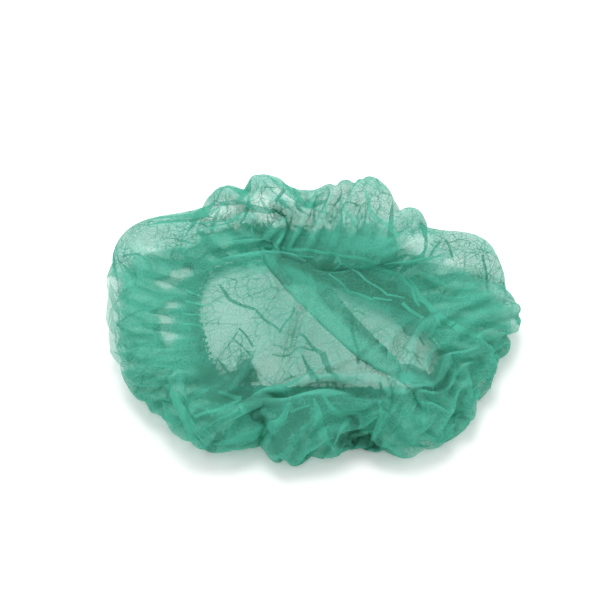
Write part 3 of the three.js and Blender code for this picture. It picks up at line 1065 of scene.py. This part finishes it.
# %% Lines of the fold strips
# the same, in the level plane of the line of sight
FOLD_STRIPS = [
    (-103, -72, -93, -91, 3.6, 6.5),
    (-93, -91, -84, -114, 6.5, 7.2),
    (-98, -77, -84, -95, 2.2, 1.4),
    (-83, -100, -53, -87, 2.9, 2.2),
    (-67, -79, -51, -84, 2.2, 4.3),
    (-52, -84, -48, -107, 2.2, 2.9),
    (-48, -107, -45, -116, 2.9, 0.7),
    (-70, -125, -44, -117, 2.2, 9.3),
    (-44, -117, -24, -104, 9.3, 6.5),
    (-24, -104, -17, -87, 5.7, 2.9),
    (-78, -111, -53, -93, 1.4, 2.2),
    (-58, -104, -60, -117, 2.2, 2.2),
    (-17, -95, -3, -90, 2.2, 2.2),
    (0, -83, 4, -110, 1.4, 7.9),
    (4, -110, 13, -130, 7.9, 1.1),
    (4, -79, 17, -99, 1.4, 5.0),
    (17, -98, 35, -97, 4.3, 0.7),
    (13, -124, 24, -101, 1.1, 4.3),
    (32, -98, 34, -114, 2.2, 1.4),
    (34, -114, 42, -113, 1.4, 2.2),
    (44, -113, 38, -130, 2.2, 2.2),
    (46, -86, 45, -113, 2.2, 1.4),
    (75, -86, 76, -114, 2.2, 2.2),
    (76, -114, 85, -120, 2.2, 1.4),
    (78, -77, 85, -91, 3.6, 2.2),
    (-43, 53, 11, 46, 2.9, 2.9),
    (11, 46, 45, 37, 2.9, 3.6),
    (-37, 48, 0, 42, 2.2, 1.4),
    (14, 51, 20, 35, 2.2, 2.2),
    (20, 36, 11, 28, 1.4, 1.4),
    (11, 27, 26, 10, 1.4, 1.4),
    (26, 10, 42, 4, 1.4, 1.8),
    (42, 4, 56, 3, 2.2, 1.4),
    (21, 37, 32, 27, 1.1, 1.8),
    (32, 27, 53, 7, 1.8, 1.8),
    (53, 7, 65, 5, 2.2, 1.4),
    (34, 35, 60, 27, 3.6, 3.6),
    (60, 27, 70, 15, 3.6, 2.9),
    (70, 15, 75, -3, 2.9, 2.2),
    (67, 24, 83, -5, 1.4, 4.3),
    (83, -5, 90, -21, 4.3, 1.4),
    (75, 4, 102, -24, 1.4, 5.7),
    (102, -24, 141, -38, 5.7, 1.1),
    (63, 0, 78, -15, 2.9, 2.9),
    (78, -88, 94, -85, 2.2, 2.9),
    (-92, 1, -73, -2, 2.2, 0.7),
    (-93, -9, -75, -12, 2.2, 0.7),
    (-92, -19, -78, -21, 2.2, 0.7),
    (-92, 11, -78, 6, 2.2, 0.7),
    (-17, 114, -10, 94, 2.2, 2.9),
    (-10, 94, 11, 81, 2.9, 2.2),
    (37, 103, 42, 81, 2.2, 2.9),
    (42, 81, 62, 61, 2.9, 3.6),
    (19, 94, 30, 70, 2.2, 2.9),
]
print("fold strips:", len(FOLD_STRIPS))

# %% Strips laid on the sheet
# in mm: from spot to spot of a strip, and how far off the rays start
STRIP_STEP = 1.2
STRIP_START = 300.0
# how far in mm a strip's width and its line wander, and over what length the line sways
WIDTH_WANDER = 0.2
LINE_SWAY = 0.6
SWAY_LENGTH = 4.0
# a longer edge means that the strip has jumped from one fold of the sheet to another
LONGEST_EDGE = 5.0


def strip_plan(from_x, from_y, to_x, to_y, first_width, last_width, seed):
    """Spots on a grid of a strip that wanders a little along its line."""
    random = np.random.default_rng(seed)
    length = math.hypot(to_x - from_x, to_y - from_y)
    steps = max(4, int(length / STRIP_STEP))
    share = np.linspace(0, 1, steps + 1)
    across = np.array([-(to_y - from_y), to_x - from_x]) / length
    width = first_width + (last_width - first_width) * share
    width = width + np.clip(random.normal(size=len(share)), -1, 1) * WIDTH_WANDER
    sway = LINE_SWAY * np.sin(share * length / SWAY_LENGTH + random.uniform(0, FULL_TURN))
    line = np.stack([from_x + (to_x - from_x) * share, from_y + (to_y - from_y) * share], -1)
    sides = np.linspace(-0.5, 0.5, 4 + int(max(first_width, last_width) / STRIP_STEP / 2))
    offset = width[:, None] * sides + sway[:, None]
    return line[:, None] + offset[..., None] * across, sides


def laid_strip(row, seed, direction, height, lift, arch):
    """The strip's spots led to the sheet along a direction, and lifted back from it."""
    plan, sides = strip_plan(*row, seed)
    width = row[4] + row[5]
    raised = lift + arch * width * (0.5**2 - sides**2)
    placed = np.full((*plan.shape[:2], 3), np.nan)
    for step, side in np.ndindex(plan.shape[:2]):
        start = Vector((*plan[step, side], height)) - direction * STRIP_START
        hit = sheet_tree.ray_cast(start, direction)[0]
        if hit:
            placed[step, side] = hit - direction * raised[side]
    return placed, plan


def whole_faces(points, faces):
    """Drops the faces that jump off the sheet, and the points that no face uses after that."""
    corners = points[faces]
    edges = np.linalg.norm(corners - np.roll(corners, 1, axis=1), axis=-1)
    faces = faces[(edges < LONGEST_EDGE).all(axis=1)]
    used = np.unique(faces)
    renumbered = np.full(len(points), -1)
    renumbered[used] = np.arange(len(used))
    return used, renumbered[faces]


sheet_tree = BVHTree.FromPolygons(cover_points.tolist(), cover_faces.tolist())
print("spots along the first tuck:", strip_plan(*TUCKS[0], 0)[0].shape[0])

# %% Tucks and fold strips
DOWN = Vector((0, 0, -1))
# how far in mm the two layers of a tuck stand off the sheet, below 0 for under it
TUCK_LIFTS = (-0.35, -0.7)
# painted shade on both layers of a tuck
TUCK_PAINTED_SHADE = -0.5
# how far a tuck's texture is shifted for each mm of its lift, so that its two layers differ
TUCK_SHIFT = 100
# how far in mm a fold strip stands off the sheet, and how high it arches for its width
FOLD_LIFT = 0.5
FOLD_ARCH = 0.12
FOLD_CLOSENESS = 0.25
# painted highlight on the fold strips
FOLD_PAINTED_LIGHT = 1.6
FIRST_FOLD_SEED = 100

strips = []
for number, row in enumerate(TUCKS):
    for lift in TUCK_LIFTS:
        placed, plan = laid_strip(row, number, DOWN, SIGHT_HEIGHT, lift, 0)
        strips.append((placed, plan + TUCK_SHIFT * lift, 0, TUCK_PAINTED_SHADE))
for number, row in enumerate(FOLD_STRIPS):
    laid = laid_strip(row, FIRST_FOLD_SEED + number, SIGHT, SIGHT_HEIGHT, FOLD_LIFT, FOLD_ARCH)
    strips.append((*laid, FOLD_CLOSENESS, FOLD_PAINTED_LIGHT))
for points, plan, closeness, painted_light in strips:
    faces = grid_faces(*points.shape[:2])[:, ::-1]
    used, faces = whole_faces(points.reshape(-1, 3), faces)
    cover_faces = np.concatenate([cover_faces, faces + len(cover_points)])
    cover_points = np.concatenate([cover_points, points.reshape(-1, 3)[used]])
    cover_flat = np.concatenate([cover_flat, plan.reshape(-1, 2)[used]])
    for kind, value in (("crease", 0), ("closeness", closeness), ("painted_light", painted_light)):
        cover_values[kind] = np.concatenate([cover_values[kind], np.full(len(used), value)])
cover = make_mesh_object("nonwoven_cover", cover_points, cover_faces, cover_flat, cover_values)
print("strips:", len(strips), "faces of the cover:", len(cover_faces))

# %% [markdown]
# The hem is the edge of the sheet folded back over the elastic. A strip swept round the opening
# would cut through the gathers, so the hem is made from the outermost cells of the same grid, lifted
# off the sheet to leave room for the elastic.

# %% Hem
HEM_CELLS = 4
# how far in mm each line of points stands off the sheet, from the edge inwards
HEM_LIFTS = (0.0, 1.3, 1.0, 0.5, 0.35)
rows, columns = sheet.shape[:2]


def ring_numbers():
    """How many cells each point of the grid is from the edge."""
    row, column = np.meshgrid(np.arange(rows), np.arange(columns), indexing="ij")
    return np.minimum.reduce([row, column, rows - 1 - row, columns - 1 - column])


ring = ring_numbers()
sheet_normals = grid_normals(sheet)


def make_hem():
    """The sheet's outermost cells once more, lifted off on the inner side."""
    in_hem = np.flatnonzero(ring.ravel() <= HEM_CELLS)
    renumbered = np.full(rows * columns, -1)
    renumbered[in_hem] = np.arange(len(in_hem))
    faces = renumbered[grid_faces(rows, columns)]
    faces = faces[(faces >= 0).all(axis=1)]
    lift = np.array(HEM_LIFTS)[ring.ravel()[in_hem]]
    inside = -sheet_normals.reshape(-1, 3)[in_hem]
    points = sheet.reshape(-1, 3)[in_hem] + inside * lift[:, None]
    points[:, 2] = np.maximum(points[:, 2], FLOOR_GAP)
    flat = sheet_flat.reshape(-1, 2)[in_hem]
    values = {kind: numbers[:rows * columns][in_hem] for kind, numbers in cover_values.items()}
    return make_mesh_object("hem_channel", points, faces[:, ::-1], flat, values)


hem_channel = make_hem()
print("faces of the hem:", len(hem_channel.data.polygons))

# %% [markdown]
# The elastic is a thin round cord inside the hem. It runs straighter than the gathers, so its path
# is the hem's second line of points, averaged. A curve with a bevel could draw it, but a Geometry
# Nodes tree keeps its radius, step and sides as named inputs and sweeps the cord along the path.

# %% Path of the elastic
# how far in mm it lies off the sheet, along which line of points, averaged over how many each way
ELASTIC_DEPTH = 0.65
ELASTIC_LINE = 1
PATH_AVERAGE = 14


def ring_path(points, number):
    """The points of one ring of the grid, in order round the sheet."""
    last = points.shape[0] - 1 - number
    return np.concatenate([
        points[number, number:last], points[number:last, last],
        points[last, last:number:-1], points[last:number:-1, number],
    ])


def averaged_path(path, count):
    """A closed path with each point at the middle of its neighbours, count on either side."""
    total = np.zeros_like(path)
    for shift in range(-count, count + 1):
        total += np.roll(path, shift, axis=0)
    return total / (2 * count + 1)


def make_path_curve(name, path):
    """A closed curve object through the points of a path in mm."""
    curve = bpy.data.curves.new(name, "CURVE")
    curve.dimensions = "3D"
    spline = curve.splines.new("POLY")
    spline.points.add(len(path) - 1)
    for point, place in zip(spline.points, path * MM):
        point.co = (*place, 1)
    spline.use_cyclic_u = True
    made = bpy.data.objects.new(name, curve)
    scene.collection.objects.link(made)
    return made


under_sheet = sheet - sheet_normals * ELASTIC_DEPTH
elastic_path = averaged_path(ring_path(under_sheet, ELASTIC_LINE), PATH_AVERAGE)
path_length = np.linalg.norm(np.roll(elastic_path, -1, axis=0) - elastic_path, axis=1).sum()
print("length of the elastic in mm:", round(float(path_length)))

# %% Cord tree
CORD_INPUTS = [("Radius", "NodeSocketFloat"), ("Step", "NodeSocketFloat"), ("Sides", "NodeSocketInt")]


def cord_tree(material):
    """Sweeps a round cord along a curve. Inputs: Radius and Step in metres, Sides."""
    tree = bpy.data.node_groups.new("elastic_cord", "GeometryNodeTree")
    face = tree.interface
    face.new_socket("Geometry", in_out="INPUT", socket_type="NodeSocketGeometry")
    for name, kind in CORD_INPUTS:
        face.new_socket(name, in_out="INPUT", socket_type=kind)
    face.new_socket("Geometry", in_out="OUTPUT", socket_type="NodeSocketGeometry")
    given = tree.nodes.new("NodeGroupInput")
    result = tree.nodes.new("NodeGroupOutput")
    resample = tree.nodes.new("GeometryNodeResampleCurve")
    resample.mode = "LENGTH"
    profile = tree.nodes.new("GeometryNodeCurvePrimitiveCircle")
    sweep = tree.nodes.new("GeometryNodeCurveToMesh")
    smooth = tree.nodes.new("GeometryNodeSetShadeSmooth")
    realize = tree.nodes.new("GeometryNodeRealizeInstances")
    finish = tree.nodes.new("GeometryNodeSetMaterial")
    finish.inputs["Material"].default_value = material
    tree.links.new(given.outputs["Geometry"], resample.inputs["Curve"])
    tree.links.new(given.outputs["Step"], resample.inputs["Length"])
    tree.links.new(given.outputs["Radius"], profile.inputs["Radius"])
    tree.links.new(given.outputs["Sides"], profile.inputs["Resolution"])
    tree.links.new(resample.outputs["Curve"], sweep.inputs["Curve"])
    tree.links.new(profile.outputs["Curve"], sweep.inputs["Profile Curve"])
    tree.links.new(sweep.outputs["Mesh"], smooth.inputs["Geometry"])
    tree.links.new(smooth.outputs["Geometry"], realize.inputs["Geometry"])
    tree.links.new(realize.outputs["Geometry"], finish.inputs["Geometry"])
    tree.links.new(finish.outputs["Geometry"], result.inputs["Geometry"])
    return tree


def apply_tree(source, name, tree, values):
    """Runs a tree on a source object and keeps the result as a plain mesh object."""
    modifier = source.modifiers.new("tree", "NODES")
    modifier.node_group = tree
    for item in tree.interface.items_tree:
        if item.in_out == "INPUT" and item.name in values:
            modifier[item.identifier] = values[item.name]
    graph = bpy.context.evaluated_depsgraph_get()
    mesh = bpy.data.meshes.new_from_object(source.evaluated_get(graph))
    mesh.name = name
    made = bpy.data.objects.new(name, mesh)
    scene.collection.objects.link(made)
    bpy.data.objects.remove(source)
    return made


print("inputs of the cord tree:", [name for name, kind in CORD_INPUTS])

# %% Elastic
ELASTIC_SIZES = {"Radius": 0.55 * MM, "Step": 2.0 * MM, "Sides": 8}
ELASTIC_WHITE = (0.83, 0.86, 0.82, 1)
ELASTIC_ROUGHNESS = 0.6


def elastic_white():
    material = bpy.data.materials.new("elastic_white")
    material.use_nodes = True
    shader = material.node_tree.nodes["Principled BSDF"]
    shader.inputs["Base Color"].default_value = ELASTIC_WHITE
    shader.inputs["Roughness"].default_value = ELASTIC_ROUGHNESS
    return material


path_curve = make_path_curve("elastic_path", elastic_path)
elastic_core = apply_tree(path_curve, "elastic_core", cord_tree(elastic_white()), ELASTIC_SIZES)
print("faces of the elastic:", len(elastic_core.data.polygons))

# %% [markdown]
# The nonwoven is a web of fine fibres that lets about half of the light straight through. What it
# stops, it scatters to both sides in its own green, so one layer over white looks pale, and several
# layers look dense and dark. Glass or a volume would take far longer to render and show no fibres,
# so a clear shader is mixed with a cloth shader, and the share of cloth is the opacity. Webs of
# fine lines, finer from one to the next, stand for the creases that a crumpled web keeps: they make
# the cloth denser, and they darken its green with painted shade, mostly where shade is painted
# already.

# %% Colours and sizes of the nonwoven
# the cloth's green with painted shade at the dark end and painted light at the light end
SHADED_GREEN = (0.07, 0.29, 0.205, 1)
GREEN = (0.12, 0.525, 0.40, 1)
LIT_GREEN = (0.13, 0.60, 0.455, 1)
LIT_FROM_BEHIND = 0.45
BASE_OPACITY = 0.50
CREASE_OPACITY = 0.22
# cells per metre, width of a line as a share of its cell, opacity it adds, painted crease shade it takes
WEBS = [
    (52, 0.04, 0.32, 0.6),
    (130, 0.075, 0.34, 0.5),
    (310, 0.12, 0.28, 0.4),
]
# share of the webs left on cloth painted light, and where the drift is low, with the drift's range for
# that
LIT_WEB = 0.15
LOW_WEB = 0.15
WEB_DRIFT = (0.36, 0.56)
# the slow drift of the web and its fine fibres: waves per metre, push in metres, more or less opacity
DRIFT_SCALE = 32
DRIFT_WARP = 0.008
DRIFT_OPACITY = 0.06
FIBRE_SCALE = 1400
FIBRE_OPACITY = 0.08
NOISE_DETAIL = 3.0
NOISE_RANGE = (0.3, 0.7)
LEAST_OPACITY = 0.05
RELIEF_STRENGTH = 0.5
RELIEF_HEIGHT = 0.0006
print("webs of creases:", len(WEBS))

# %% Helpers for shader nodes


def new_node(tree, kind, values, links=()):
    """A node with values set on its own sockets and other sockets linked."""
    node = tree.nodes.new(kind)
    for socket, value in values.items():
        node.inputs[socket].default_value = value
    for socket, source in links:
        tree.links.new(source, node.inputs[socket])
    return node


def calculate(tree, operation, *numbers):
    """A Math node on sockets or plain numbers."""
    node = tree.nodes.new("ShaderNodeMath")
    node.operation = operation
    for socket, number in zip(node.inputs, numbers):
        if isinstance(number, bpy.types.NodeSocket):
            tree.links.new(number, socket)
        else:
            socket.default_value = number
    return node.outputs[0]


def map_range(tree, source, low, high, to_low, to_high):
    """Leads the range from low to high to another range."""
    values = {"From Min": low, "From Max": high, "To Min": to_low, "To Max": to_high}
    return new_node(tree, "ShaderNodeMapRange", values, [("Value", source)]).outputs["Result"]


def point_value(tree, name):
    """A value that each point of the mesh keeps."""
    node = tree.nodes.new("ShaderNodeAttribute")
    node.attribute_name = name
    return node.outputs["Fac"]


def noise_of(tree, place, scale):
    values = {"Scale": scale, "Detail": NOISE_DETAIL}
    noise = new_node(tree, "ShaderNodeTexNoise", values, [("Vector", place)])
    return noise.outputs["Fac"], noise.outputs["Color"]


def more_or_less(tree, opacity, noise, most):
    """Adds up to most to the opacity, or takes it away, as the noise says."""
    return calculate(tree, "ADD", opacity, map_range(tree, noise, *NOISE_RANGE, -most, most))


def web_lines(tree, place, scale, width):
    """Lines of a web of creases: 1 on a line, 0 between them."""
    cells = new_node(tree, "ShaderNodeTexVoronoi", {}, [("Vector", place)])
    cells.feature = "DISTANCE_TO_EDGE"
    cells.voronoi_dimensions = "2D"
    cells.inputs["Scale"].default_value = scale
    return map_range(tree, cells.outputs["Distance"], 0, width, 1, 0)


def warped_place(tree, place, drift_vector):
    """The flat place pushed about a little, so that no line of a web runs straight."""
    warped = new_node(tree, "ShaderNodeVectorMath", {}, [(0, drift_vector), (2, place)])
    warped.operation = "MULTIPLY_ADD"
    warped.inputs[1].default_value = (DRIFT_WARP, DRIFT_WARP, 0)
    return warped.outputs[0]


print("noises:", DRIFT_SCALE, "and", FIBRE_SCALE, "waves per metre")

# %% Opacity, painted light and relief of the cloth


def cloth_values(tree):
    """How much light the cloth stops, how much light and shade is painted into its green, and the height
    of its creases.
    """
    place = tree.nodes.new("ShaderNodeTexCoord").outputs["UV"]
    drift, drift_vector = noise_of(tree, place, DRIFT_SCALE)
    fibre, _ = noise_of(tree, place, FIBRE_SCALE)
    web_place = warped_place(tree, place, drift_vector)
    painted_light = point_value(tree, "painted_light")
    unlit = map_range(tree, painted_light, 0, 1, 1, LIT_WEB)
    fade = calculate(tree, "MULTIPLY", map_range(tree, drift, *WEB_DRIFT, LOW_WEB, 1), unlit)
    crease = point_value(tree, "crease")
    opacity = calculate(tree, "MULTIPLY_ADD", crease, CREASE_OPACITY, BASE_OPACITY)
    opacity = more_or_less(tree, opacity, drift, DRIFT_OPACITY)
    opacity = more_or_less(tree, opacity, fibre, FIBRE_OPACITY)
    relief = 0.0
    for scale, width, more_opacity, crease_shade in WEBS:
        lines = calculate(tree, "MULTIPLY", web_lines(tree, web_place, scale, width), fade)
        opacity = calculate(tree, "MULTIPLY_ADD", lines, more_opacity, opacity)
        painted_light = calculate(tree, "MULTIPLY_ADD", lines, -crease_shade, painted_light)
        relief = calculate(tree, "MULTIPLY_ADD", lines, more_opacity, relief)
    closer = calculate(tree, "ADD", point_value(tree, "closeness"), 1.0)
    opacity = calculate(tree, "MULTIPLY", opacity, closer)
    opacity = calculate(tree, "MAXIMUM", opacity, LEAST_OPACITY)
    return calculate(tree, "MINIMUM", opacity, 1.0), painted_light, relief


def cloth_green(tree, painted_light):
    """The green from painted shade to painted light, by the painted light from -1 to 1."""
    share = map_range(tree, painted_light, -1, 1, 0, 1)
    ramp = new_node(tree, "ShaderNodeValToRGB", {}, [("Fac", share)])
    ramp.color_ramp.elements[0].color = SHADED_GREEN
    ramp.color_ramp.elements[1].color = LIT_GREEN
    ramp.color_ramp.elements.new(0.5).color = GREEN
    return ramp.outputs["Color"]


print("opacity of one flat layer:", BASE_OPACITY)

# %% Nonwoven


def mixed_shaders(tree, share, first, second):
    """Two shaders mixed by a plain share or by a socket."""
    mix = tree.nodes.new("ShaderNodeMixShader")
    if isinstance(share, bpy.types.NodeSocket):
        tree.links.new(share, mix.inputs[0])
    else:
        mix.inputs[0].default_value = share
    tree.links.new(first.outputs[0], mix.inputs[1])
    tree.links.new(second.outputs[0], mix.inputs[2])
    return mix


def nonwoven():
    material = bpy.data.materials.new("nonwoven")
    material.use_nodes = True
    tree = material.node_tree
    tree.nodes.clear()
    opacity, painted_light, relief = cloth_values(tree)
    # the green carries the painted light and shade
    colour = cloth_green(tree, painted_light)
    bump_sizes = {"Strength": RELIEF_STRENGTH, "Distance": RELIEF_HEIGHT}
    bump = new_node(tree, "ShaderNodeBump", bump_sizes, [("Height", relief)])
    front_links = [("Color", colour), ("Normal", bump.outputs["Normal"])]
    front = new_node(tree, "ShaderNodeBsdfDiffuse", {}, front_links)
    through = new_node(tree, "ShaderNodeBsdfTranslucent", {}, [("Color", colour)])
    cloth = mixed_shaders(tree, LIT_FROM_BEHIND, front, through)
    clear = tree.nodes.new("ShaderNodeBsdfTransparent")
    mixed = mixed_shaders(tree, opacity, clear, cloth)
    new_node(tree, "ShaderNodeOutputMaterial", {}, [("Surface", mixed.outputs[0])])
    return material


green = nonwoven()
cover.data.materials.append(green)
hem_channel.data.materials.append(green)
print("nodes of the nonwoven:", len(green.node_tree.nodes))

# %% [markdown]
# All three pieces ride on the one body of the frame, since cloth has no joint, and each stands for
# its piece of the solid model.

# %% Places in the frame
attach(cover, "root")
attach(hem_channel, "root")
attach(elastic_core, "root")
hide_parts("cover")
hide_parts("gathered_hem")
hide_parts("elastic_band")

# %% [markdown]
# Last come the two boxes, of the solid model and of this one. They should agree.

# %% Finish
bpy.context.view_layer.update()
print("finished in", round(time.time() - start_time, 1), "s")
